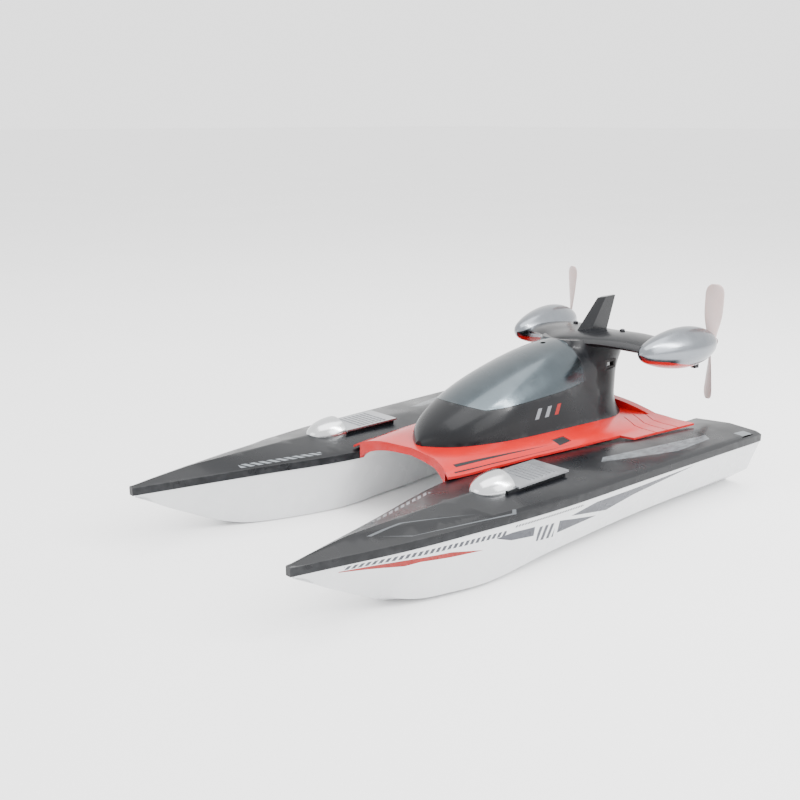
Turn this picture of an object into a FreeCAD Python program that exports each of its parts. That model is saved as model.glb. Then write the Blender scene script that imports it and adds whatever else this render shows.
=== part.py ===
import FreeCAD, Part
import math
import os

# Twin-hull model boat driven by two pusher airscrews on an arched wing.
# Millimetres. Bow towards -Y, port side is +X, +Z up. The origin is the middle of
# the footprint on the floor. "Station" means the distance aft of the bow tips.

V = FreeCAD.Vector
PORT = 1
STARBOARD = -1
SIDES = {"port": PORT, "starboard": STARBOARD}

# ---- driving dimensions -------------------------------------------------------
LENGTH = 545.0            # bow tip to the back of the airscrew nut
TRANSOM = 514.0           # station of the hulls' flat stern
SEAM_Z = 47.0             # where each deck meets its hull
RIM_Z = 53.5              # top of the dark rim band
DECK_EDGE_Z = 54.6        # where the sloping deck starts
BOW_X = 106.0             # hull centreline at the bow
HULL_WALL = 1.6
KEEL_TRIM = 0.3           # planed off the keels, which leaves each a flat to stand on
DECK_WALL = 1.8
RIM_OVERHANG = 0.8        # the deck's rim stands proud of the hull by this
BRIDGE_WALL = 2.0
CABIN_WALL = 1.8
FIT_GAP = 0.25            # gap round covers that lift off
NACELLE_X = 88.0
AXIS_Z = 128.0            # height of both airscrew axes
NACELLE_NOSE = 432.0
NACELLE_TAIL = 530.0
NACELLE_R = 20.0
NACELLE_WALL = 1.5
PROP_STATION = 537.0
POD_TOE = 6.5             # degrees that each pod's nose points inboard
PROP_R = 57.5
BLADE_THICKNESS = 1.6
BLADE_CAMBER = 0.8
SHAFT_R = 1.0
RUNNING_GAP = 0.05        # radial, shaft in its bushing
CANOPY_HINGE = (257.5, 100.0)    # station and height of the front lip the canopy tips on
SWITCH_AT = (452.0, 109.0)       # station and height of the power switch
SWITCH_TRAVEL = 4.0


def y_of(station):
    """Row-frame y of a station."""
    return station - LENGTH / 2


def curve(*knots):
    """Smooth function through (station, value) knots that never overshoots them."""
    xs = [k[0] for k in knots]
    ys = [k[1] for k in knots]
    steps = [(ys[i + 1] - ys[i]) / (xs[i + 1] - xs[i]) for i in range(len(xs) - 1)]
    slopes = [steps[0]]
    for before, after in zip(steps, steps[1:]):
        flat = before * after <= 0
        slopes.append(0.0 if flat else 2 * before * after / (before + after))
    slopes.append(steps[-1])

    def value(x):
        x = min(max(x, xs[0]), xs[-1])
        i = max(k for k in range(len(xs) - 1) if xs[k] <= x)
        span = xs[i + 1] - xs[i]
        t = (x - xs[i]) / span
        rise = (3 - 2 * t) * t * t
        lead = t * (1 - t) * (1 - t) * slopes[i]
        trail = t * t * (t - 1) * slopes[i + 1]
        return ys[i] + (ys[i + 1] - ys[i]) * rise + span * (lead + trail)

    return value


# ---- lines of the hulls and decks --------------------------------------------------
rim_inner = curve((0, 103.5), (96, 80), (190, 56), (225, 52), (300, 59), (390, 72), (514, 89))
rim_outer = curve((0, 108.5), (25, 114.5), (60, 123), (100, 131.5), (150, 139),
                  (200, 146), (250, 150.5), (350, 154.5), (514, 162))
keel_z = curve((4, 44.3), (24, 33.6), (69, 10.4), (95, 1.2), (112, 0), (514, 0))
bilge_inner = curve((4, 105.0), (60, 103), (95, 92), (137, 76), (194, 64), (232, 65),
                    (319, 72), (400, 80), (514, 95))
keel_inner = curve((4, 105.5), (60, 105), (95, 102), (137, 84), (194, 70), (319, 77), (514, 100))
keel_outer = curve((4, 106.5), (60, 107), (95, 110), (137, 120), (194, 122), (319, 122), (514, 128))
chine_x = curve((4, 107.2), (60, 110), (103, 125), (163, 137.5), (229, 139.5), (332, 141), (514, 150))
chine_lift = curve((4, 1.0), (60, 6), (103, 4), (163, 3.2), (229, 8), (332, 12), (514, 16.5))
ridge_x = curve((0, 105.7), (54, 104), (345, 104), (430, 112), (514, 128))
ridge_z = curve((0, 54.9), (30, 58.5), (60, 61), (200, 62), (290, 61), (345, 60), (400, 59), (514, 57.5))
crease_x = curve((0, 106.4), (50, 107), (117, 120), (175, 140), (300, 147), (514, 156))
crease_lift = curve((0, 0.1), (50, 0.4), (117, 1.4), (175, 0.8), (514, 0.6))

HULL_STATIONS = [4 + 20 * k for k in range(10)] + [220, 260, 300, 340, 380, 420, 465, TRANSOM]
HULL_HOLLOW_FROM = 45
DECK_STATIONS = [14 * k for k in range(15)] + [230, 265, 300, 340, 380, 420, 465, TRANSOM]

# ---- lines of the bridge between the hulls --------------------------------------------
bridge_edge_x = curve((190, 61), (251, 67.5), (297, 73), (343, 81), (383, 88), (480, 90))
bridge_edge_z = curve((190, 57.4), (300, 59.1), (370, 59.6), (392, 61.4), (480, 61.0))
bridge_top_z = curve((190, 66), (260, 68), (340, 67), (400, 65), (450, 63), (480, 62.5))
tunnel_z = curve((190, 59), (260, 61), (340, 60), (400, 57.5), (450, 54.8), (480, 54))
BRIDGE_STATIONS = (190, 225, 260, 300, 340, 383, 420, 450, 478)
BRIDGE_FRONT = 197.0
BRIDGE_BACK = 477.0
LIP_DEPTH = 9.0
BROW = 4.0                # how far the bridge's front edge turns down, fore and aft

# ---- lines of the cabin ------------------------------------------------------------
CABIN_FLOOR_Z = 54.0
cabin_foot = curve((221, 5), (226, 13), (236, 25), (258, 37.5), (298, 48), (345, 55), (414, 60), (452, 44))
cabin_body = curve((221, 5), (226, 12.5), (236, 24), (258, 35.5), (298, 43), (345, 43.5), (386, 39.5),
                   (414, 34), (440, 30), (452, 28))
cabin_top = curve((221, 71), (226, 76.5), (236, 84), (265, 100), (300, 114.5), (340, 126.5), (384, 135.4),
                  (415, 138), (452, 138.5))
CABIN_STATIONS = (221, 226, 236, 250, 270, 298, 325, 355, 386, 414, 436, 452)

SLICE_POINTS = 24


def toed(shape):
    """A port pod piece drawn along Y, turned about the airscrew's place."""
    turned = shape.copy()
    turned.rotate(V(NACELLE_X, y_of(PROP_STATION), AXIS_Z), V(0, 0, 1), -POD_TOE)
    return turned


def polygon(points):
    """Closed wire through points."""
    return Part.makePolygon(list(points) + [points[0]])


def loft(wires):
    """Smooth solid through closed wires."""
    return Part.makeLoft(wires, True, False)


def spline_edge(points):
    line = Part.BSplineCurve()
    line.interpolate(points)
    return line.toShape()


def power(value, exponent):
    """A power that keeps the sign."""
    return math.copysign(abs(value) ** exponent, value)


def closed_spline(points):
    line = Part.BSplineCurve()
    line.interpolate(Points=points, PeriodicFlag=True)
    return Part.Wire([line.toShape()])


def box(x_range, station_range, z_range):
    size = (x_range[1] - x_range[0], station_range[1] - station_range[0], z_range[1] - z_range[0])
    return Part.makeBox(*size, V(x_range[0], y_of(station_range[0]), z_range[0]))


def rod(radius, start_station, end_station, x=0.0, z=AXIS_Z):
    """Round bar along Y."""
    return Part.makeCylinder(radius, end_station - start_station, V(x, y_of(start_station), z), V(0, 1, 0))


def post(radius, x, station, low, high):
    """Upright round bar."""
    return Part.makeCylinder(radius, high - low, V(x, y_of(station), low), V(0, 0, 1))


def mirrored(shape, side):
    """The port shape itself, or its copy on the starboard side."""
    if side == PORT:
        return shape
    return shape.mirror(V(0, 0, 0), V(1, 0, 0))


def side_prism(outline, half_width):
    """Solid from a side-view outline of (station, z) corners, across the whole beam."""
    wire = polygon([V(-half_width, y_of(s), z) for s, z in outline])
    return Part.Face(wire).extrude(V(2 * half_width, 0, 0))


def plan_prism(outline, low, high):
    """Solid from a plan outline of (x, station) corners."""
    wire = polygon([V(x, y_of(s), low) for x, s in outline])
    return Part.Face(wire).extrude(V(0, 0, high - low))


def largest(shape):
    """The biggest solid of a cut, without crumbs."""
    return max(shape.Solids, key=lambda solid: solid.Volume)


# ---- hulls and decks, drawn on the port side -----------------------------------------
def hull_section(s, wall, top):
    low = keel_z(s) + wall - KEEL_TRIM
    return polygon([V(x, y_of(s), z) for x, z in (
        (rim_inner(s) + RIM_OVERHANG + wall, top),
        (bilge_inner(s) + wall, low + 0.2 * chine_lift(s) + 0.4),
        (keel_inner(s) + 0.5 * wall, low),
        (keel_outer(s) - 0.5 * wall, low),
        (chine_x(s) - wall, low + chine_lift(s)),
        (rim_outer(s) - RIM_OVERHANG - wall, top),
    )])


def hull_shell():
    outside = loft([hull_section(s, 0, SEAM_Z) for s in HULL_STATIONS])
    outside = outside.cut(box((50, 180), (0, LENGTH), (-2 * KEEL_TRIM, 0)))
    hollow_stations = [s for s in HULL_STATIONS if HULL_HOLLOW_FROM < s < TRANSOM] + [TRANSOM - HULL_WALL]
    inside = loft([hull_section(s, HULL_WALL, SEAM_Z + 1) for s in hollow_stations])
    return largest(outside.cut(inside))


def deck_section(s, wall, base):
    inner = rim_inner(s) + wall
    outer = rim_outer(s) - wall
    ledge = min(2.5, 0.2 * (outer - inner))
    drop = ridge_z(s) - DECK_EDGE_Z
    share = (crease_x(s) - ridge_x(s)) / (rim_outer(s) - ridge_x(s))
    crease_z = ridge_z(s) - drop * share + crease_lift(s)
    return polygon([V(x, y_of(s), z) for x, z in (
        (inner, base),
        (inner, RIM_Z - wall),
        (inner + ledge, DECK_EDGE_Z - wall),
        (ridge_x(s), ridge_z(s) - wall),
        (min(crease_x(s), outer - 1.6 * ledge), crease_z - wall),
        (outer - ledge, DECK_EDGE_Z - wall),
        (outer, RIM_Z - wall),
        (outer, base),
    )])


def deck_outside():
    return loft([deck_section(s, 0, SEAM_Z) for s in DECK_STATIONS])


LAMP_X = 104.0
LAMP_STATION = 211.0         # flat back of the lamp dome
LAMP_PAD_TOP = 62.2


def lamp_pad():
    return box((LAMP_X - 16, LAMP_X + 18), (LAMP_STATION - 10, 271), (56, LAMP_PAD_TOP))


def deck_shell(outside):
    hollow_stations = [s for s in DECK_STATIONS if 20 < s < TRANSOM] + [TRANSOM - DECK_WALL]
    inside = loft([deck_section(s, DECK_WALL, SEAM_Z - 1) for s in hollow_stations])
    padded = outside.fuse(lamp_pad())
    return largest(padded.cut(inside))


def lamp_dome_solid(shrink):
    ball = Part.makeSphere(1.0)
    shape = FreeCAD.Matrix()
    shape.scale(17 - shrink, 31 - shrink, 13.5 - shrink)
    ball = ball.transformGeometry(shape)
    ball.translate(V(LAMP_X, y_of(LAMP_STATION), 60))
    return ball


def lamp_dome(deck):
    front_half = box((LAMP_X - 20, LAMP_X + 20), (LAMP_STATION - 40, LAMP_STATION), (50, 80))
    dome = lamp_dome_solid(0).cut(lamp_dome_solid(1.5))
    return largest(dome.common(front_half).cut(deck))


def lamp_plate():
    face_z = LAMP_PAD_TOP + 1.6
    plate = box((LAMP_X - 18, LAMP_X + 20), (LAMP_STATION + 0.2, 273), (LAMP_PAD_TOP, face_z))
    ribs = []
    for k in range(7):
        s = 230 + 5 * k
        ribs.append(box((LAMP_X - 14, LAMP_X + 16), (s, s + 2), (face_z, face_z + 0.6)))
    return plate.fuse(ribs)


def lamp_led():
    bulb = post(2.5, LAMP_X, 200, LAMP_PAD_TOP, LAMP_PAD_TOP + 4)
    return bulb.fuse(Part.makeSphere(2.5, V(LAMP_X, y_of(200), LAMP_PAD_TOP + 4)))


# ---- bridge ---------------------------------------------------------------------
def bridge_height(s, x, drop=0.0):
    """Height of the bridge's top surface, flat outside its raised middle."""
    edge = bridge_edge_x(s)
    share = min(abs(x) / edge, 1.0)
    rise = bridge_top_z(s) - bridge_edge_z(s)
    return bridge_edge_z(s) + rise * (1 - share ** 5) - drop


def bridge_section(s, drop, base):
    xs = [118 * k / 24 for k in range(-24, 25)]
    top = spline_edge([V(x, y_of(s), bridge_height(s, x, drop)) for x in xs])
    left = V(xs[0], y_of(s), base)
    right = V(xs[-1], y_of(s), base)
    ends = [vertex.Point for vertex in (top.Vertexes[0], top.Vertexes[-1])]
    sides = Part.makePolygon([ends[1], right, left, ends[0]]).Edges
    return Part.Wire([top] + sides)


def bridge_fill():
    """Everything below the bridge's top surface."""
    return loft([bridge_section(s, 0, 30) for s in BRIDGE_STATIONS])


def bridge_outline(shift=0.0):
    """Plan corners of the bridge, moved aft by shift."""
    half = [(0, 212), (34, 207), (60, BRIDGE_FRONT)]
    half += [(bridge_edge_x(s) - 0.3, s) for s in (225, 251, 297, 343, 383)]
    half += [(88.5, 392), (102, 394), (108, 440), (112, BRIDGE_BACK)]
    whole = half + [(-x, s) for x, s in reversed(half) if x > 0]
    return [(x, s + shift) for x, s in whole]


def bridge_lip():
    """The raised arch across the back of the bridge."""
    half_span = 80
    start = y_of(BRIDGE_BACK - LIP_DEPTH)
    arc = Part.Arc(V(-half_span, start, 58.5), V(0, start, 71.5), V(half_span, start, 58.5))
    chord = Part.LineSegment(arc.EndPoint, arc.StartPoint)
    face = Part.Face(Part.Wire([arc.toShape(), chord.toShape()]))
    return face.extrude(V(0, LIP_DEPTH, 0))


def bridge_brow(fill, tunnel):
    """The turned-down front edge that rings the tunnel's mouth."""
    front = plan_prism(bridge_outline(), 40, 90).cut(plan_prism(bridge_outline(BROW), 40, 90))
    between_hulls = box((-54, 54), (190, 222), (47.5, 90))
    return fill.common(front).common(between_hulls).cut(tunnel)


def groove(station, layer):
    """One shallow bent groove across the rear deck plate of the bridge."""
    bends = [(58, station + 15), (81, station), (110, station - 1)]
    width = 1.2
    line = [(x, s) for x, s in bends] + [(x, s + width) for x, s in reversed(bends)]
    slab = plan_prism(line, 40, 90)
    return slab.common(layer)


def bridge_cover(fill, tunnel):
    under = loft([bridge_section(s, BRIDGE_WALL, 29) for s in BRIDGE_STATIONS])
    skin = fill.cut(under)
    cover = skin.common(plan_prism(bridge_outline(), 40, 90))
    sunk = fill.copy()
    sunk.translate(V(0, 0, -0.8))
    layer = fill.cut(sunk)
    cuts = [groove(s, layer) for s in (424, 439, 454)]
    cuts += [cut.mirror(V(0, 0, 0), V(1, 0, 0)) for cut in cuts]
    cover = cover.cut(cuts)
    cover = cover.cut([plug_box(side, FIT_GAP / 2) for side in SIDES.values()])
    return largest(cover.fuse([bridge_lip(), bridge_brow(fill, tunnel)]))


PLUG_STATION = 333.0


def plug_box(side, grow):
    hole = box((62 - grow, 72 + grow), (PLUG_STATION - 8 - grow, PLUG_STATION + 8 + grow), (50, 80))
    return mirrored(hole, side)


def bridge_plug(side, fill):
    low = fill.copy()
    low.translate(V(0, 0, -BRIDGE_WALL))
    high = fill.copy()
    high.translate(V(0, 0, -0.5))
    return largest(plug_box(side, 0).common(high).cut(low))


def tunnel_section(s, drop):
    half = rim_inner(s) - 0.15
    side_z = 47.5 - drop
    crown = tunnel_z(s) + BRIDGE_WALL - drop
    points = []
    for k in range(17):
        x = half * math.cos(math.pi * k / 16)
        z = side_z + (crown - side_z) * (1 - abs(x / half) ** 3) ** 0.5
        points.append(V(x, y_of(s), z))
    top = spline_edge(points)
    base_z = 45.6 if drop else 44
    corners = [top.Vertexes[-1].Point, V(-half, y_of(s), base_z - drop)]
    corners += [V(half, y_of(s), base_z - drop), top.Vertexes[0].Point]
    return Part.Wire([top] + Part.makePolygon(corners).Edges)


def tunnel_loft(drop):
    stations = (190, 205, 225, 260, 300, 340, 383, 420, 450, 474)
    return loft([tunnel_section(s, drop) for s in stations])


def bridge_frame(tunnel):
    behind_brow = plan_prism(bridge_outline(BROW + 0.1), 44.5, 90)
    return largest(tunnel_loft(0).cut(tunnel).common(behind_brow))


# ---- cabin, canopy and pylon ---------------------------------------------------------
def cabin_section(s, wall):
    foot = max(cabin_foot(s) - wall, 0.8)
    body = max(cabin_body(s) - wall, 0.8)
    top = cabin_top(s) - wall
    height = top - CABIN_FLOOR_Z
    points = []
    for k in range(SLICE_POINTS + 1):
        angle = math.pi * k / SLICE_POINTS
        u = math.sin(angle) ** 0.8
        reach = body * (1 - u ** 5) ** 0.5 + (foot - body) * (1 - u) ** 3
        points.append(V(math.copysign(reach, math.cos(angle)), y_of(s), CABIN_FLOOR_Z + height * u))
    arch = spline_edge(points)
    base = Part.makePolygon([arch.Vertexes[-1].Point, arch.Vertexes[0].Point])
    return Part.Wire([arch] + base.Edges)


def cabin_body_solid(wall):
    last = CABIN_STATIONS[-1] - wall
    stations = [s for s in CABIN_STATIONS if wall == 0 or 230 < s < last] + ([last] if wall else [])
    return loft([cabin_section(s, wall) for s in stations])


pylon_front = curve((54, 345), (85, 360), (115, 380), (137, 400))
pylon_back = curve((54, 482), (66, 475), (76, 470), (90, 471), (105, 477), (118, 486), (128, 490), (137, 489))
pylon_half = curve((54, 58), (66, 51), (80, 41), (100, 33), (118, 29), (137, 26))
pylon_fullness = curve((54, 1.0), (70, 0.95), (90, 0.62), (137, 0.6))


def pylon_slice(z, wall):
    front = pylon_front(z) + wall
    back = pylon_back(z) - wall
    half = pylon_half(z) - wall
    fullness = pylon_fullness(z)
    middle = front + 0.55 * (back - front)
    points = []
    for k in range(SLICE_POINTS):
        angle = 2 * math.pi * k / SLICE_POINTS
        reach = (back - middle) if math.cos(angle) > 0 else (middle - front)
        s = middle + reach * power(math.cos(angle), fullness)
        points.append(V(half * power(math.sin(angle), fullness), y_of(s), z))
    return closed_spline(points)


def pylon_solid(wall, low, high):
    heights = (54, 62, 70, 80, 92, 105, 117, 128, 137)
    inner_heights = [z for z in heights if low < z < high]
    return loft([pylon_slice(z, wall) for z in [low] + inner_heights + [high]])


SCREW_STATION = 383.6        # the canopy's one screw
CANOPY_OUTLINE = ((CANOPY_HINGE[0] + 1.5, 99.0), (272, 95.2), (402, 101), (404, 113), (401.5, 126),
                  (398.5, 150), (262, 150))


def canopy_prism(grow):
    wire = polygon([V(-70, y_of(s), z) for s, z in CANOPY_OUTLINE])
    if grow:
        wire = wire.makeOffset2D(grow, 2)
    return Part.Face(wire).extrude(V(140, 0, 0))


def canopy_hooks():
    """Two tongues that reach under the nose lip and hold the canopy's front edge."""
    hooks = []
    for side in SIDES.values():
        x = 12 * side
        hooks.append(box((x - 4, x + 4), (255, 270), (88.5, 90.3)))
        hooks.append(box((x - 4, x + 4), (266, 270), (88.5, 98.5)))
    return hooks


def canopy(outer, inner):
    skin = outer.cut(inner).common(canopy_prism(0))
    cover = largest(skin)
    hooks = [hook.common(outer) for hook in canopy_hooks()]
    cover = cover.fuse(hooks)
    cover = cover.cut(post(2.6, 0, SCREW_STATION, 120, 150))
    seat = post(4.4, 0, SCREW_STATION, 128, 131).cut(post(1.6, 0, SCREW_STATION, 127, 132))
    collar = post(4.4, 0, SCREW_STATION, 128, 134.5).cut(post(2.6, 0, SCREW_STATION, 127, 140))
    return largest(cover.fuse([seat, collar]))


def canopy_screw():
    head = post(2.3, 0, SCREW_STATION, 131, 133.2)
    slot = box((-2.4, 2.4), (SCREW_STATION - 0.4, SCREW_STATION + 0.4), (132.4, 133.4))
    shank = post(1.4, 0, SCREW_STATION, 124.0, 131)
    return head.fuse(shank).cut(slot)


def canopy_post():
    """Boss on the battery deck that the canopy's screw ends above."""
    return post(4.0, 0, SCREW_STATION, 72, 123.4).cut(post(1.5, 0, SCREW_STATION, 110, 124))


def switch_pocket(grow):
    s, z = SWITCH_AT
    return box((8, 40), (s - 8.5 - grow, s + 8.5 + grow), (z - 4.5 - grow, z + 4.5 + grow))


def cabin_shell(outer, inner, neighbours):
    """Cabin and pylon skin, cut back to the pieces it touches."""
    shell = outer.cut(inner)
    for piece in [canopy_prism(FIT_GAP), switch_pocket(0.1)] + neighbours:
        shell = largest(shell.cut(piece))
    return shell


SWITCH_FACE_X = 29.8


def switch_housing():
    s, z = SWITCH_AT
    body = box((16, SWITCH_FACE_X), (s - 8.5, s + 8.5), (z - 4.5, z + 4.5))
    slot = box((19.7, SWITCH_FACE_X + 1), (s - 5.2, s + 5.2), (z - 2.2, z + 2.2))
    return body.cut(slot)


def switch_slider():
    s, z = SWITCH_AT
    start = s - 4.8
    foot = box((20, 27.4), (start, start + 5), (z - 1.9, z + 1.9))
    ridges = []
    for k in range(3):
        ridge_start = start + 0.4 + 1.6 * k
        ridges.append(box((27.4, 28.8), (ridge_start, ridge_start + 0.8), (z - 1.9, z + 1.9)))
    return foot.fuse(ridges)


def battery_tray():
    tray = box((-24, 24), (292, 372), (70, 82))
    return tray.cut(box((-22.3, 22.3), (293.7, 370.3), (71.7, 83)))


def battery_pack():
    cells = []
    for x in (-9.6, 9.6):
        cells.append(rod(9.4, 297, 367, x, 81.4))
    web = box((-9.6, 9.6), (297, 367), (72.2, 90.4))
    pack = web.fuse(cells)
    return pack


def battery_plug():
    body = box((5, 17), (374, 380), (73, 80))
    pins = [box((x - 1, x + 1), (380, 382), (75.5, 77.5)) for x in (8, 14)]
    return body.fuse(pins)


def receiver_board():
    board = box((-17, 17), (392, 438), (80, 81.6))
    chips = [box((-8, 4), (398, 410), (81.6, 83.4)), box((-12, 12), (420, 432), (81.6, 85))]
    return board.fuse(chips)


def board_posts():
    return [post(2.2, x, s, 68, 80) for x in (-14, 14) for s in (395, 435)]


# ---- wing and fin -------------------------------------------------------------------
wing_front = curve((0, 402), (40, 424), (88, 452))
wing_back = curve((0, 493), (40, 499), (88, 507))
wing_mid = curve((0, 134), (40, 133.5), (70, 128.5), (88, 126))
wing_up = curve((0, 6.5), (40, 6.5), (88, 4.5))
wing_down = curve((0, 7), (40, 6), (88, 4.5))
WING_AT = (-86, -74, -56, -38, -18, 0, 18, 38, 56, 74, 86)


def wing_section(x, top, wall):
    """Half of the wing's section, above or below its chord."""
    reach = abs(x)
    front = wing_front(reach) + 3 * wall
    back = wing_back(reach) - 3 * wall
    depth = (wing_up(reach) if top else -wing_down(reach)) * (1 - 0.28 * wall)
    points = []
    for k in range(13):
        t = k / 12
        bulge = 2.6 * (t ** 0.55) * (1 - t) ** 0.9
        points.append(V(x, y_of(front + t * (back - front)), wing_mid(reach) + depth * min(bulge, 1.4)))
    skin = spline_edge(points)
    back_end = skin.Vertexes[-1].Point
    front_end = skin.Vertexes[0].Point
    past_chord = V(0, 0, -math.copysign(wall, depth))
    chord = [back_end, front_end]
    if wall:
        chord = [back_end, back_end + past_chord, front_end + past_chord, front_end]
    return Part.Wire([skin] + Part.makePolygon(chord).Edges)


def wing_half(top, wall):
    places = WING_AT[1:-1] if wall else WING_AT
    return loft([wing_section(x, top, wall) for x in places])


def above_wing_skin():
    """Everything from the wing's lower skin upwards."""
    faces = []
    for x in WING_AT:
        lower = wing_section(x, False, 0).Edges[0]
        front, back = (lower.valueAt(end) for end in (lower.FirstParameter, lower.LastParameter))
        high = [V(x, back.y, 160), V(x, front.y, 160)]
        sides = Part.makePolygon([back] + high + [front]).Edges
        faces.append(Part.Wire([lower] + sides))
    return loft(faces)


def wing_shell(half, top, pods):
    """Hollow half of the wing, ending on the skin of both pods."""
    shell = half.cut(wing_half(top, 1))
    for pod in pods:
        shell = shell.cut(pod)
    return largest(shell)


def wing_screw(side, wing_top):
    """Domed head of a screw that holds the wing's upper shell down."""
    x = 29 * side
    head = post(2.6, x, 470, 138, 140.6)
    dome = Part.makeSphere(4.0, V(x, y_of(470), 137.6)).common(post(2.6, x, 470, 138, 142))
    return head.fuse(dome).cut(wing_top)


def fin(wing_top):
    def section(z, front, back, half):
        third = front + 0.38 * (back - front)
        corners = [(0, front), (half, third), (0.55 * half, back), (-0.55 * half, back), (-half, third)]
        return polygon([V(x, y_of(s), z) for x, s in corners])
    low = section(136, 431, 480.5, 4.2)
    high = section(169.5, 465.8, 493.5, 2.4)
    blade = Part.makeLoft([low, high], True, True)
    return largest(blade.cut(wing_top))


# ---- nacelles, motors and airscrews ----------------------------------------------------
def nacelle_solid(wall):
    """Egg-shaped pod, split later into two shells."""
    length = NACELLE_TAIL - NACELLE_NOSE
    profile = []
    for k in range(15):
        t = k / 14
        fullness = (t ** 0.48) * (1 - 0.62 * t ** 3.2) ** 0.9
        profile.append((NACELLE_NOSE + t * length, NACELLE_R * 1.1 * fullness))
    peak = max(radius for s, radius in profile)
    points = []
    for s, radius in profile:
        station = s + wall if s < NACELLE_NOSE + 1 else s
        points.append(V(NACELLE_X, y_of(station), AXIS_Z + max(radius * NACELLE_R / peak - wall, 0)))
    if wall:
        points = [points[0]] + points[2:]
    skin = spline_edge(points)
    tail = skin.Vertexes[-1].Point
    axis_end = V(NACELLE_X, tail.y, AXIS_Z)
    rest = Part.makePolygon([tail, axis_end, points[0]]).Edges
    face = Part.Face(Part.Wire([skin] + rest))
    return face.revolve(V(NACELLE_X, 0, AXIS_Z), V(0, 1, 0), 360)


def nacelle_shell():
    skin = nacelle_solid(0).cut(nacelle_solid(NACELLE_WALL))
    cap = rod(12, NACELLE_TAIL - 2, NACELLE_TAIL, NACELLE_X)
    shaft_hole = rod(3, NACELLE_TAIL - 3, NACELLE_TAIL + 1, NACELLE_X)
    return skin.fuse(cap.cut(shaft_hole).common(nacelle_solid(0)))


def nacelle_region(high):
    z_range = (AXIS_Z, AXIS_Z + 30) if high else (AXIS_Z - 30, AXIS_Z)
    return box((NACELLE_X - 30, NACELLE_X + 30), (NACELLE_NOSE - 5, NACELLE_TAIL + 5), z_range)


def scoop_region():
    """The lower front of the pod, which is its own red piece."""
    outline = ((NACELLE_NOSE - 4, AXIS_Z - 4), (NACELLE_NOSE + 26, AXIS_Z - 8), (NACELLE_NOSE + 70, AXIS_Z - 17),
               (NACELLE_NOSE + 74, AXIS_Z - 30), (NACELLE_NOSE - 4, AXIS_Z - 30))
    return side_prism(outline, 130)


def motor_can():
    body = rod(12, 484, 520, NACELLE_X)
    hollow = rod(10.6, 485.2, 516, NACELLE_X)
    bore = rod(SHAFT_R + RUNNING_GAP, 483, 521, NACELLE_X)
    return body.cut([hollow, bore])


def motor_mount():
    return rod(16.5, 500, 504, NACELLE_X).cut(rod(12, 499, 505, NACELLE_X))


def motor_rotor():
    return rod(8.5, 488, 511, NACELLE_X).cut(rod(SHAFT_R, 487, 512, NACELLE_X))


def motor_shaft():
    return rod(SHAFT_R, 482, PROP_STATION + 4, NACELLE_X)


blade_chord = curve((4, 8), (12, 12), (30, 17.5), (48, 18), (54, 15.5), (57.5, 7))
blade_twist = curve((4, 55), (30, 38), (57.5, 24))


def blade_section(radius):
    half = blade_chord(radius) / 2
    twist = math.radians(blade_twist(radius))
    faces = []
    for thickness in (BLADE_THICKNESS / 2, -BLADE_THICKNESS / 2):
        points = []
        for k in range(9):
            angle = math.pi * k / 8
            along = half * math.cos(angle)
            across = thickness * math.sin(angle) - BLADE_CAMBER * math.sin(angle) ** 2
            x = along * math.cos(twist) - across * math.sin(twist)
            y = along * math.sin(twist) + across * math.cos(twist)
            points.append(V(NACELLE_X + x, y_of(PROP_STATION) + y, AXIS_Z + radius))
        faces.append(spline_edge(points))
    return Part.Wire(faces)


def propeller():
    blade = loft([blade_section(r) for r in (2.5, 8, 18, 30, 42, 50, 55, PROP_R)])
    centre = V(NACELLE_X, y_of(PROP_STATION), AXIS_Z)
    other = blade.copy()
    other.rotate(centre, V(0, 1, 0), 180)
    hub = rod(4.2, PROP_STATION - 4.5, PROP_STATION + 4, NACELLE_X)
    whole = hub.fuse([blade, other])
    return largest(whole.cut(rod(SHAFT_R, PROP_STATION - 8, PROP_STATION + 8, NACELLE_X)))


def prop_nut():
    back = PROP_STATION + 4
    nut = rod(3.4, back, back + 2, NACELLE_X)
    cone = Part.makeCone(3.4, 1.6, LENGTH - back - 2, V(NACELLE_X, y_of(back + 2), AXIS_Z), V(0, 1, 0))
    return nut.fuse(cone)


def nacelle_tab():
    return box((NACELLE_X - 2.5, NACELLE_X + 2.5), (511, 517), (AXIS_Z - 23, AXIS_Z - 12)).cut(nacelle_solid(0))


# ---- assembly ---------------------------------------------------------------------
def port_pieces():
    """Pieces that exist once on each side, drawn on the port side."""
    deck_solid = deck_outside()
    deck = deck_shell(deck_solid)
    dome_seat = deck_solid.fuse(lamp_pad())
    pod = nacelle_shell()
    lower = pod.common(nacelle_region(False))
    return {
        "hull": hull_shell(),
        "deck": deck,
        "lamp_dome": lamp_dome(dome_seat),
        "lamp_plate": lamp_plate(),
        "lamp_led": lamp_led(),
        "nacelle_upper": toed(largest(pod.common(nacelle_region(True)))),
        "nacelle_lower": toed(largest(lower.cut(scoop_region()))),
        "nacelle_scoop": toed(largest(lower.common(scoop_region()))),
        "nacelle_tab": toed(nacelle_tab()),
        "motor_can": toed(motor_can()),
        "motor_mount": toed(motor_mount()),
        "motor_rotor": toed(motor_rotor()),
        "motor_shaft": toed(motor_shaft()),
        "propeller": toed(propeller()),
        "prop_nut": toed(prop_nut()),
    }


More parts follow.
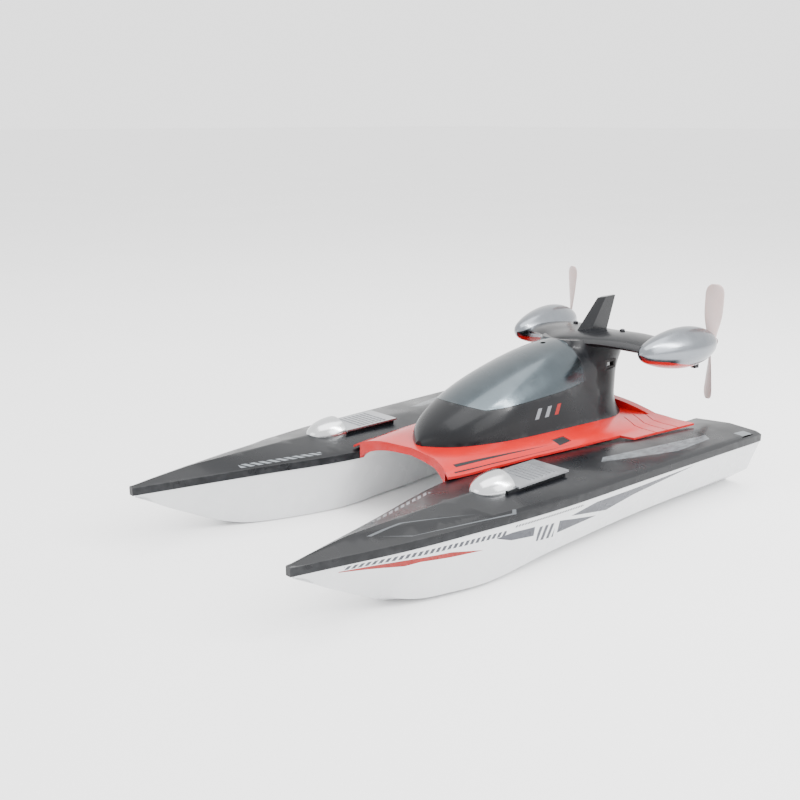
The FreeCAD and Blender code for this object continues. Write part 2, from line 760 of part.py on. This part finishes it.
def middle_pieces():
    """Pieces on the boat's centreline."""
    port_pod = toed(nacelle_solid(0))
    pods = [port_pod, mirrored(port_pod, STARBOARD)]
    fill = bridge_fill()
    tunnel = tunnel_loft(BRIDGE_WALL)
    outer = cabin_body_solid(0).fuse(pylon_solid(0, 54, 137))
    inner = cabin_body_solid(CABIN_WALL).fuse(pylon_solid(CABIN_WALL, 56, 126))
    wing_top = wing_half(True, 0)
    wing_low = wing_half(False, 0)
    return {
        "bridge_cover": bridge_cover(fill, tunnel),
        "port_bridge_plug": bridge_plug(PORT, fill),
        "starboard_bridge_plug": bridge_plug(STARBOARD, fill),
        "bridge_frame": bridge_frame(tunnel),
        "cabin_shell": cabin_shell(outer, inner, [fill, above_wing_skin(), bridge_lip()]),
        "canopy": canopy(outer, inner),
        "canopy_screw": canopy_screw(),
        "canopy_post": canopy_post().cut(fill),
        "battery_tray": battery_tray(),
        "battery_pack": battery_pack(),
        "battery_plug": battery_plug(),
        "receiver_board": receiver_board(),
        "board_posts": Part.makeCompound([p.cut(fill) for p in board_posts()]),
        "power_switch": switch_housing(),
        "switch_slider": switch_slider(),
        "wing_upper": wing_shell(wing_top, True, pods),
        "wing_lower": wing_shell(wing_low, False, pods),
        "fin": fin(wing_top),
        "wing_screws": Part.makeCompound([wing_screw(side, wing_top) for side in SIDES.values()]),
    }


def main():
    os.makedirs("parts", exist_ok=True)
    pieces = middle_pieces()
    for name, shape in port_pieces().items():
        for side_name, side in SIDES.items():
            pieces[side_name + "_" + name] = mirrored(shape, side)
    for name, shape in sorted(pieces.items()):
        solids = len(shape.Solids)
        b = shape.BoundBox
        print(f"{name:26s} solids {solids} valid {shape.isValid()} volume {shape.Volume:10.0f} "
              f"x {b.XMin:.1f} {b.XMax:.1f} y {b.YMin:.1f} {b.YMax:.1f} z {b.ZMin:.1f} {b.ZMax:.1f}")
        shape.exportStep(os.path.join("parts", name + ".step"))


main()
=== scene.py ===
import math
import bpy
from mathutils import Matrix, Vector


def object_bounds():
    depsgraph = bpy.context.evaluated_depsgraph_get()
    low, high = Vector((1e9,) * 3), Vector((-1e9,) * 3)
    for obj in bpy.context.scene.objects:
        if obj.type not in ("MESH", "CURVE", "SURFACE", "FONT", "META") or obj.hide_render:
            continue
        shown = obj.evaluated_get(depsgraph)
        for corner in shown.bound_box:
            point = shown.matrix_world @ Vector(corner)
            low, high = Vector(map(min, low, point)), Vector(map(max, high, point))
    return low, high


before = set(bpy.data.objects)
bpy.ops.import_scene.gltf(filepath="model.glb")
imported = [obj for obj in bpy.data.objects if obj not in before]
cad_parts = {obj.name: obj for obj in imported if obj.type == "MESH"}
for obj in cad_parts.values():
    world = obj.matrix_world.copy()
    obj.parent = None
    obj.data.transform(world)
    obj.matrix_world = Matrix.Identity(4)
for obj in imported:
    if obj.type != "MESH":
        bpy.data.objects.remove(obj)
cad_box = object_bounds()

MM_PER_M = 1000.0
BOW_Y = cad_box[0].y
SIDES = ("port", "starboard")

# Where the markings stop, in mm.
HULL_OUTBOARD = 109.0         # hull markings lie further out than this
DECK_FACE_Z = 53.0            # deck markings lie above this
CABIN_SIDE = 20.0             # cabin markings lie further out than this
BRIDGE_FRONT = 197.0          # station of the bridge's front corners
BRIDGE_FRONT_HALF = 61.0      # half width of the bridge there
BRIDGE_FLARE = 0.125          # growth of that half width per mm aft

# Camera and floor, in metres and degrees.
CAMERA_PLACE = (0.6362, -0.6569, 0.3433)
CAMERA_TURN = 47.5
CAMERA_DIP = 15.0
CAMERA_LENS = 47.5
SENSOR_WIDTH = 36.0
FLOOR_HALF = 30.0
WORLD_STRENGTH = 2.2

WELD_GAP = 0.00002
CREASE_ANGLE = 32.0           # edges sharper than this many degrees stay crisp
RUBBED = (0.55, 0.56, 0.58)   # colour of plastic rubbed bare along an edge

SHEEN = 0.2               # plain reflection of the moulded plastic
EDGE_START, EDGE_FULL = 0.53, 0.60      # pointiness where rubbed edges begin and peak

# Linear colours of the mouldings and decals.
WHITE = (0.62, 0.63, 0.64)
BLACK = (0.0042, 0.0048, 0.0062)
RED = (0.46, 0.004, 0.005)
GUNMETAL = (0.062, 0.078, 0.088)
SILVER = (0.19, 0.205, 0.225)
PALE = (0.50, 0.40, 0.385)
DECAL_GREY = (0.05, 0.053, 0.064)
DECAL_RED = (0.24, 0.012, 0.010)
DECAL_PALE = (0.17, 0.185, 0.20)


# ---- shader graphs ------------------------------------------------------------------
class Graph:
    """A principled material with short calls for the nodes it needs."""

    def __init__(self, name, roughness, metallic=0.0, coat=0.0):
        self.material = bpy.data.materials.new(name)
        self.material.use_nodes = True
        self.tree = self.material.node_tree
        self.shader = self.tree.nodes["Principled BSDF"]
        self.shader.inputs["Roughness"].default_value = roughness
        self.shader.inputs["Metallic"].default_value = metallic
        self.shader.inputs["Coat Weight"].default_value = coat
        self.shader.inputs["Coat Roughness"].default_value = 0.08
        self.shader.inputs["Specular IOR Level"].default_value = SHEEN
        self.place = self.tree.nodes.new("ShaderNodeTexCoord").outputs["Object"]
        axes = self.tree.nodes.new("ShaderNodeSeparateXYZ")
        self.tree.links.new(self.place, axes.inputs[0])
        self.x, self.y, self.z = axes.outputs

    def link(self, source, target):
        if hasattr(source, "links"):
            self.tree.links.new(source, target)
        else:
            target.default_value = source

    def math(self, operation, a, b=0.0, c=0.0):
        node = self.tree.nodes.new("ShaderNodeMath")
        node.operation = operation
        for value, socket in zip((a, b, c), node.inputs):
            self.link(value, socket)
        return node.outputs[0]

    def noise(self, scale, detail=3.0, stretch=(1.0, 1.0, 1.0)):
        mapping = self.tree.nodes.new("ShaderNodeMapping")
        mapping.inputs["Scale"].default_value = stretch
        self.tree.links.new(self.place, mapping.inputs["Vector"])
        node = self.tree.nodes.new("ShaderNodeTexNoise")
        node.inputs["Scale"].default_value = scale
        node.inputs["Detail"].default_value = detail
        self.tree.links.new(mapping.outputs[0], node.inputs["Vector"])
        return node.outputs["Fac"]

    def remap(self, value, low, high, start=0.3, end=0.7):
        node = self.tree.nodes.new("ShaderNodeMapRange")
        self.link(value, node.inputs["Value"])
        node.inputs["From Min"].default_value = start
        node.inputs["From Max"].default_value = end
        node.inputs["To Min"].default_value = low
        node.inputs["To Max"].default_value = high
        return node.outputs["Result"]

    def mix(self, share, a, b):
        node = self.tree.nodes.new("ShaderNodeMix")
        node.data_type = "RGBA"
        self.link(share, node.inputs["Factor"])
        for value, socket in ((a, node.inputs["A"]), (b, node.inputs["B"])):
            self.link(value if hasattr(value, "links") else (*value, 1.0), socket)
        return node.outputs["Result"]

    def shade_of(self, colour, swing, scale=60.0):
        """The colour with a slow, faint variation."""
        dark = tuple(c * (1 - swing) for c in colour)
        light = tuple(min(c * (1 + swing), 1.0) for c in colour)
        return self.mix(self.remap(self.noise(scale), 0.0, 1.0), dark, light)

    def grain(self, roughness, swing, bump_scale, bump_height, stretch=(1.0, 1.0, 1.0)):
        """Uneven gloss and a fine moulded or brushed surface."""
        texture = self.noise(bump_scale, 4.0, stretch)
        uneven = self.remap(self.noise(45.0, 5.0), roughness - swing, roughness + swing)
        self.tree.links.new(uneven, self.shader.inputs["Roughness"])
        bump = self.tree.nodes.new("ShaderNodeBump")
        bump.inputs["Strength"].default_value = 0.35
        bump.inputs["Distance"].default_value = bump_height
        self.tree.links.new(texture, bump.inputs["Height"])
        self.tree.links.new(bump.outputs[0], self.shader.inputs["Normal"])

    def paint(self, colour):
        """Lays the colour on, a little lighter in patches along outer edges."""
        edges = self.tree.nodes.new("ShaderNodeNewGeometry").outputs["Pointiness"]
        rubbed = self.remap(edges, 0.0, 0.05, EDGE_START, EDGE_FULL)
        patchy = self.math("MULTIPLY", rubbed, self.remap(self.noise(130.0), 0.0, 1.0))
        self.link(self.mix(patchy, colour, RUBBED), self.shader.inputs["Base Color"])

    def inside(self, u, v, corners):
        """1 inside a convex outline of (u, v) corners given in mm, listed clockwise or not."""
        area = sum(a[0] * b[1] - b[0] * a[1] for a, b in zip(corners, corners[1:] + corners[:1]))
        ordered = corners if area > 0 else corners[::-1]
        mask = None
        for a, b in zip(ordered, ordered[1:] + ordered[:1]):
            across = (a[1] - b[1], b[0] - a[0])
            offset = across[0] * a[0] + across[1] * a[1]
            along = self.math("MULTIPLY", u, across[0])
            value = self.math("MULTIPLY_ADD", v, across[1], along)
            keep = self.math("GREATER_THAN", value, offset)
            mask = keep if mask is None else self.math("MULTIPLY", mask, keep)
        return mask

    def either(self, masks):
        total = masks[0]
        for mask in masks[1:]:
            total = self.math("MAXIMUM", total, mask)
        return total

    def dashes(self, u, v, pitch, fill, lean):
        """Slanted bars along u, the plain stand-in for a strip of lettering."""
        slant = self.math("MULTIPLY_ADD", v, lean, u)
        phase = self.math("FRACT", self.math("DIVIDE", slant, pitch))
        return self.math("LESS_THAN", phase, fill)


def plastic(name, colour, roughness, coat=0.3, bump=0.00002, swing=0.06):
    graph = Graph(name, roughness, 0.0, coat)
    graph.paint(graph.shade_of(colour, swing))
    graph.grain(roughness, 0.05, 900.0, bump)
    return graph


def metal(name, colour, roughness, stretch=(1.0, 1.0, 1.0), bump=0.000015):
    graph = Graph(name, roughness, 1.0, 0.25)
    graph.paint(graph.shade_of(colour, 0.05, 90.0))
    graph.grain(roughness, 0.04, 1500.0, bump, stretch)
    return graph


def mm_coordinates(graph):
    """Station aft of the bow, height and distance off the centreline, all in mm."""
    station = graph.math("MULTIPLY", graph.math("SUBTRACT", graph.y, BOW_Y), MM_PER_M)
    height = graph.math("MULTIPLY", graph.z, MM_PER_M)
    off = graph.math("MULTIPLY", graph.math("ABSOLUTE", graph.x), MM_PER_M)
    return station, height, off


def hull_material():
    graph = plastic("hull_white", WHITE, 0.26, 0.25, 0.00003, 0.02)
    s, z, off = mm_coordinates(graph)
    outer = graph.math("GREATER_THAN", off, HULL_OUTBOARD)
    red = graph.either([
        graph.inside(s, z, [(37, 41.6), (37, 40.8), (88, 34.2), (127, 36.4), (90, 39.0)]),
        graph.inside(s, z, [(88, 34.2), (127, 32.4), (172, 28.2), (127, 36.4)]),
    ])
    grey = graph.either([
        graph.inside(s, z, [(149, 35.6), (184, 32), (208, 24), (208, 37.5), (184, 38.6)]),
        graph.inside(s, z, [(236, 35.5), (236, 24.5), (284, 27.2)]),
        graph.inside(s, z, [(249, 36.4), (296, 29), (330, 35), (330, 41.5), (279, 41.5)]),
        graph.inside(s, z, [(330, 35), (412, 44), (330, 41.5)]),
    ])
    title = graph.math("MULTIPLY",
                       graph.inside(s, z, [(40, 42.0), (178, 37.6), (178, 41.6), (40, 45.2)]),
                       graph.dashes(s, z, 5.2, 0.62, -0.6))
    small = graph.math("MULTIPLY",
                       graph.inside(s, z, [(186, 42.0), (262, 42.0), (262, 43.8), (186, 43.8)]),
                       graph.dashes(s, z, 3.1, 0.6, -0.6))
    badge = graph.math("MULTIPLY",
                       graph.inside(s, z, [(212, 23.5), (232, 22), (232, 35), (212, 36)]),
                       graph.dashes(s, z, 6.6, 0.55, -0.25))
    dark = graph.either([title, small, badge])
    base = graph.shade_of(WHITE, 0.02)
    base = graph.mix(graph.math("MULTIPLY", red, outer), base, graph.shade_of(DECAL_RED, 0.15, 220.0))
    base = graph.mix(graph.math("MULTIPLY", grey, outer), base, graph.shade_of(DECAL_GREY, 0.12, 260.0))
    base = graph.mix(graph.math("MULTIPLY", dark, outer), base, DECAL_GREY)
    graph.paint(base)
    return graph.material


def deck_material():
    graph = plastic("deck_black", BLACK, 0.30, 0.08, 0.000035, 0.1)
    s, z, off = mm_coordinates(graph)
    outline = [(65, 111), (97, 110.5), (189, 141), (186, 144), (95, 126)]
    corners = len(outline)
    middle = (sum(p[0] for p in outline) / corners, sum(p[1] for p in outline) / corners)
    shrunk = [(middle[0] + (a - middle[0]) * 0.955, middle[1] + (b - middle[1]) * 0.9) for a, b in outline]
    pin = graph.math("SUBTRACT", graph.inside(s, off, outline), graph.inside(s, off, shrunk))
    title = graph.math("MULTIPLY",
                       graph.inside(s, off, [(92, 84), (167, 66), (167, 71), (92, 89)]),
                       graph.dashes(s, off, 6.0, 0.6, 0.9))
    band = graph.inside(s, off, [(322, 120), (332, 114), (462, 134), (456, 142), (404, 143)])
    weave = graph.remap(graph.noise(320.0, 5.0, (1.0, 0.35, 1.0)), 0.25, 0.75)
    label = graph.inside(s, off, [(489, 147), (503, 149), (503, 158), (489, 156)])
    marks = graph.either([graph.math("MULTIPLY", pin, 0.45), title, graph.math("MULTIPLY", band, weave),
                          graph.math("MULTIPLY", label, 0.7)])
    top = graph.math("GREATER_THAN", z, DECK_FACE_Z)
    graph.paint(graph.mix(graph.math("MULTIPLY", marks, top), graph.shade_of(BLACK, 0.12), DECAL_PALE))
    return graph.material


def bridge_material():
    graph = plastic("bridge_red", RED, 0.22, 0.12, 0.00002, 0.04)
    s, _, off = mm_coordinates(graph)
    behind_front = graph.math("SUBTRACT", s, BRIDGE_FRONT)
    edge = graph.math("MULTIPLY_ADD", behind_front, BRIDGE_FLARE, BRIDGE_FRONT_HALF)
    inboard = graph.math("SUBTRACT", edge, off)
    strokes = []
    for start, end, low, width in ((212.0, 318.0, 8.5, 4.2), (206.0, 345.0, 3.0, 1.3)):
        share = graph.math("DIVIDE", graph.math("SUBTRACT", end, s), end - start)
        reach = graph.math("MULTIPLY_ADD", share, width, low)
        after = graph.math("GREATER_THAN", s, start)
        above = graph.math("GREATER_THAN", inboard, low)
        below = graph.math("LESS_THAN", inboard, reach)
        strokes.append(graph.math("MULTIPLY", after, graph.math("MULTIPLY", above, below)))
    graph.paint(graph.mix(graph.either(strokes), graph.shade_of(RED, 0.05), BLACK))
    return graph.material


def cabin_material():
    graph = plastic("cabin_black", BLACK, 0.3, 0.08, 0.00003, 0.12)
    s, z, off = mm_coordinates(graph)
    chevrons = []
    for k in range(3):
        at = 322.0 + 13.0 * k
        chevrons.append(graph.inside(s, z, [(at, 80), (at + 5, 80), (at + 11, 89), (at + 6, 89)]))
    pale = graph.math("MULTIPLY", graph.either(chevrons[:2]), graph.math("GREATER_THAN", off, CABIN_SIDE))
    red = graph.math("MULTIPLY", chevrons[2], graph.math("GREATER_THAN", off, CABIN_SIDE))
    base = graph.mix(pale, graph.shade_of(BLACK, 0.15), DECAL_PALE)
    graph.paint(graph.mix(red, base, DECAL_RED))
    return graph.material


def propeller_material():
    graph = plastic("airscrew_pale", PALE, 0.38, 0.1, 0.00002, 0.05)
    graph.shader.inputs["Subsurface Weight"].default_value = 0.35
    graph.shader.inputs["Subsurface Radius"].default_value = (0.004, 0.002, 0.0015)
    return graph.material


def lamp_plate_material():
    graph = metal("lamp_plate_silver", (0.42, 0.43, 0.45), 0.38)
    s, _, off = mm_coordinates(graph)
    lines = graph.dashes(s, off, 5.0, 0.5, 0.55)
    bump = graph.tree.nodes.new("ShaderNodeBump")
    bump.inputs["Distance"].default_value = 0.0004
    graph.tree.links.new(lines, bump.inputs["Height"])
    graph.tree.links.new(bump.outputs[0], graph.shader.inputs["Normal"])
    return graph.material


def make_materials():
    return {
        "hull": hull_material(),
        "deck": deck_material(),
        "bridge": bridge_material(),
        "cabin": cabin_material(),
        "frame": plastic("frame_white", WHITE, 0.3, 0.3, 0.00003, 0.03).material,
        "black": plastic("moulding_black", BLACK, 0.3, 0.08, 0.00003, 0.12).material,
        "red": plastic("scoop_red", RED, 0.24, 0.12, 0.00002, 0.05).material,
        "trim": plastic("trim_dark", (0.014, 0.014, 0.015), 0.5, 0.0, 0.00004, 0.1).material,
        "canopy": metal("canopy_gunmetal", GUNMETAL, 0.24).material,
        "silver": metal("pod_silver", SILVER, 0.25).material,
        "lamp": metal("lamp_silver", (0.55, 0.56, 0.57), 0.2, (1.0, 0.12, 1.0), 0.00006).material,
        "lamp_plate": lamp_plate_material(),
        "screw": metal("screw_black", (0.05, 0.05, 0.055), 0.35).material,
        "propeller": propeller_material(),
        "steel": metal("bare_steel", (0.55, 0.55, 0.55), 0.3, (1.0, 0.1, 1.0)).material,
        "led": plastic("led_clear", (0.9, 0.92, 0.95), 0.1, 0.2).material,
        "wrap": plastic("battery_wrap", (0.03, 0.09, 0.35), 0.25, 0.3).material,
        "board": plastic("circuit_board", (0.01, 0.16, 0.06), 0.4, 0.2, 0.0001).material,
    }


# Which material each kind of node wears; the part before it may be a side.
WEARS = {
    "hull": "hull", "deck": "deck", "lamp_dome": "lamp", "lamp_plate": "lamp_plate", "lamp_led": "led",
    "nacelle_upper": "silver", "nacelle_lower": "silver", "nacelle_scoop": "red", "nacelle_tab": "trim",
    "motor_can": "steel", "motor_mount": "trim", "motor_rotor": "steel", "motor_shaft": "steel",
    "propeller": "propeller", "prop_nut": "trim", "bridge_cover": "bridge", "bridge_plug": "trim",
    "bridge_frame": "frame", "cabin_shell": "cabin", "canopy": "canopy", "canopy_screw": "steel",
    "canopy_post": "black", "battery_tray": "trim", "battery_pack": "wrap", "battery_plug": "frame",
    "receiver_board": "board", "board_posts": "black", "power_switch": "trim", "switch_slider": "steel",
    "wing_upper": "black", "wing_lower": "black", "wing_screws": "screw", "fin": "black",
}


def smooth_group():
    """Geometry nodes that shade smoothly but keep the sharper edges crisp."""
    group = bpy.data.node_groups.new("smooth_by_angle", "GeometryNodeTree")
    group.interface.new_socket("Geometry", in_out="INPUT", socket_type="NodeSocketGeometry")
    group.interface.new_socket("Geometry", in_out="OUTPUT", socket_type="NodeSocketGeometry")
    start = group.nodes.new("NodeGroupInput")
    end = group.nodes.new("NodeGroupOutput")
    edge_angle = group.nodes.new("GeometryNodeInputMeshEdgeAngle")
    flat = group.nodes.new("FunctionNodeCompare")
    flat.operation = "LESS_EQUAL"
    flat.inputs[1].default_value = math.radians(CREASE_ANGLE)
    faces = group.nodes.new("GeometryNodeSetShadeSmooth")
    edges = group.nodes.new("GeometryNodeSetShadeSmooth")
    edges.domain = "EDGE"
    group.links.new(start.outputs[0], faces.inputs["Geometry"])
    group.links.new(edge_angle.outputs["Unsigned Angle"], flat.inputs[0])
    group.links.new(faces.outputs[0], edges.inputs["Geometry"])
    group.links.new(flat.outputs[0], edges.inputs["Shade Smooth"])
    group.links.new(edges.outputs[0], end.inputs[0])
    return group


def smooth(obj, group):
    """Welds split corners with a modifier and shades the node smoothly."""
    weld = obj.modifiers.new("weld", "WELD")
    weld.merge_threshold = WELD_GAP
    for face in obj.data.polygons:
        face.use_smooth = True
    obj.modifiers.new("smooth", "NODES").node_group = group


def dress_nodes(materials):
    group = smooth_group()
    for name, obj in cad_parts.items():
        kind = name
        for side in SIDES:
            kind = kind.removeprefix(side + "_")
        obj.data.materials.clear()
        obj.data.materials.append(materials[WEARS[kind]])
        smooth(obj, group)


# ---- room -----------------------------------------------------------------------
def make_floor():
    side = FLOOR_HALF
    mesh = bpy.data.meshes.new("floor")
    corners = [(-side, -side, 0), (side, -side, 0), (side, side, 0), (-side, side, 0)]
    mesh.from_pydata(corners, [], [(0, 1, 2, 3)])
    floor = bpy.data.objects.new("floor", mesh)
    bpy.context.scene.collection.objects.link(floor)
    graph = Graph("floor_pale", 0.8)
    graph.paint(graph.shade_of((0.93, 0.93, 0.93), 0.01, 3.0))
    mesh.materials.append(graph.material)


def make_light(name, place, aim, size, power):
    data = bpy.data.lights.new(name, "AREA")
    data.shape = "RECTANGLE"
    data.size, data.size_y = size
    data.energy = power
    lamp = bpy.data.objects.new(name, data)
    lamp.location = place
    lamp.rotation_euler = (Vector(aim) - Vector(place)).to_track_quat("-Z", "Y").to_euler()
    bpy.context.scene.collection.objects.link(lamp)


def make_lights():
    world = bpy.data.worlds.new("studio")
    world.use_nodes = True
    world.node_tree.nodes["Background"].inputs["Color"].default_value = (1.0, 1.0, 1.0, 1.0)
    world.node_tree.nodes["Background"].inputs["Strength"].default_value = WORLD_STRENGTH
    bpy.context.scene.world = world
    make_light("overhead", (0.1, 0.2, 1.9), (0.0, 0.0, 0.0), (1.6, 1.6), 34.0)
    make_light("port_soft", (1.7, 0.4, 1.0), (0.0, 0.05, 0.08), (0.9, 1.4), 14.0)
    make_light("bow_soft", (-0.4, -1.9, 1.1), (0.0, 0.0, 0.05), (1.6, 0.8), 8.0)
    make_light("port_strip", (0.9, 0.5, 1.1), (0.0, 0.05, 0.12), (0.12, 1.2), 22.0)


def make_camera():
    """The photograph's viewpoint: off the port bow, looking slightly down."""
    azimuth = math.radians(CAMERA_TURN)
    pitch = math.radians(CAMERA_DIP)
    data = bpy.data.cameras.new("camera")
    data.sensor_width = SENSOR_WIDTH
    data.lens = CAMERA_LENS
    camera = bpy.data.objects.new("camera", data)
    camera.location = CAMERA_PLACE
    camera.rotation_euler = (math.pi / 2 - pitch, 0.0, azimuth)
    bpy.context.scene.collection.objects.link(camera)
    bpy.context.scene.camera = camera


materials = make_materials()
dress_nodes(materials)
make_floor()
make_lights()
make_camera()
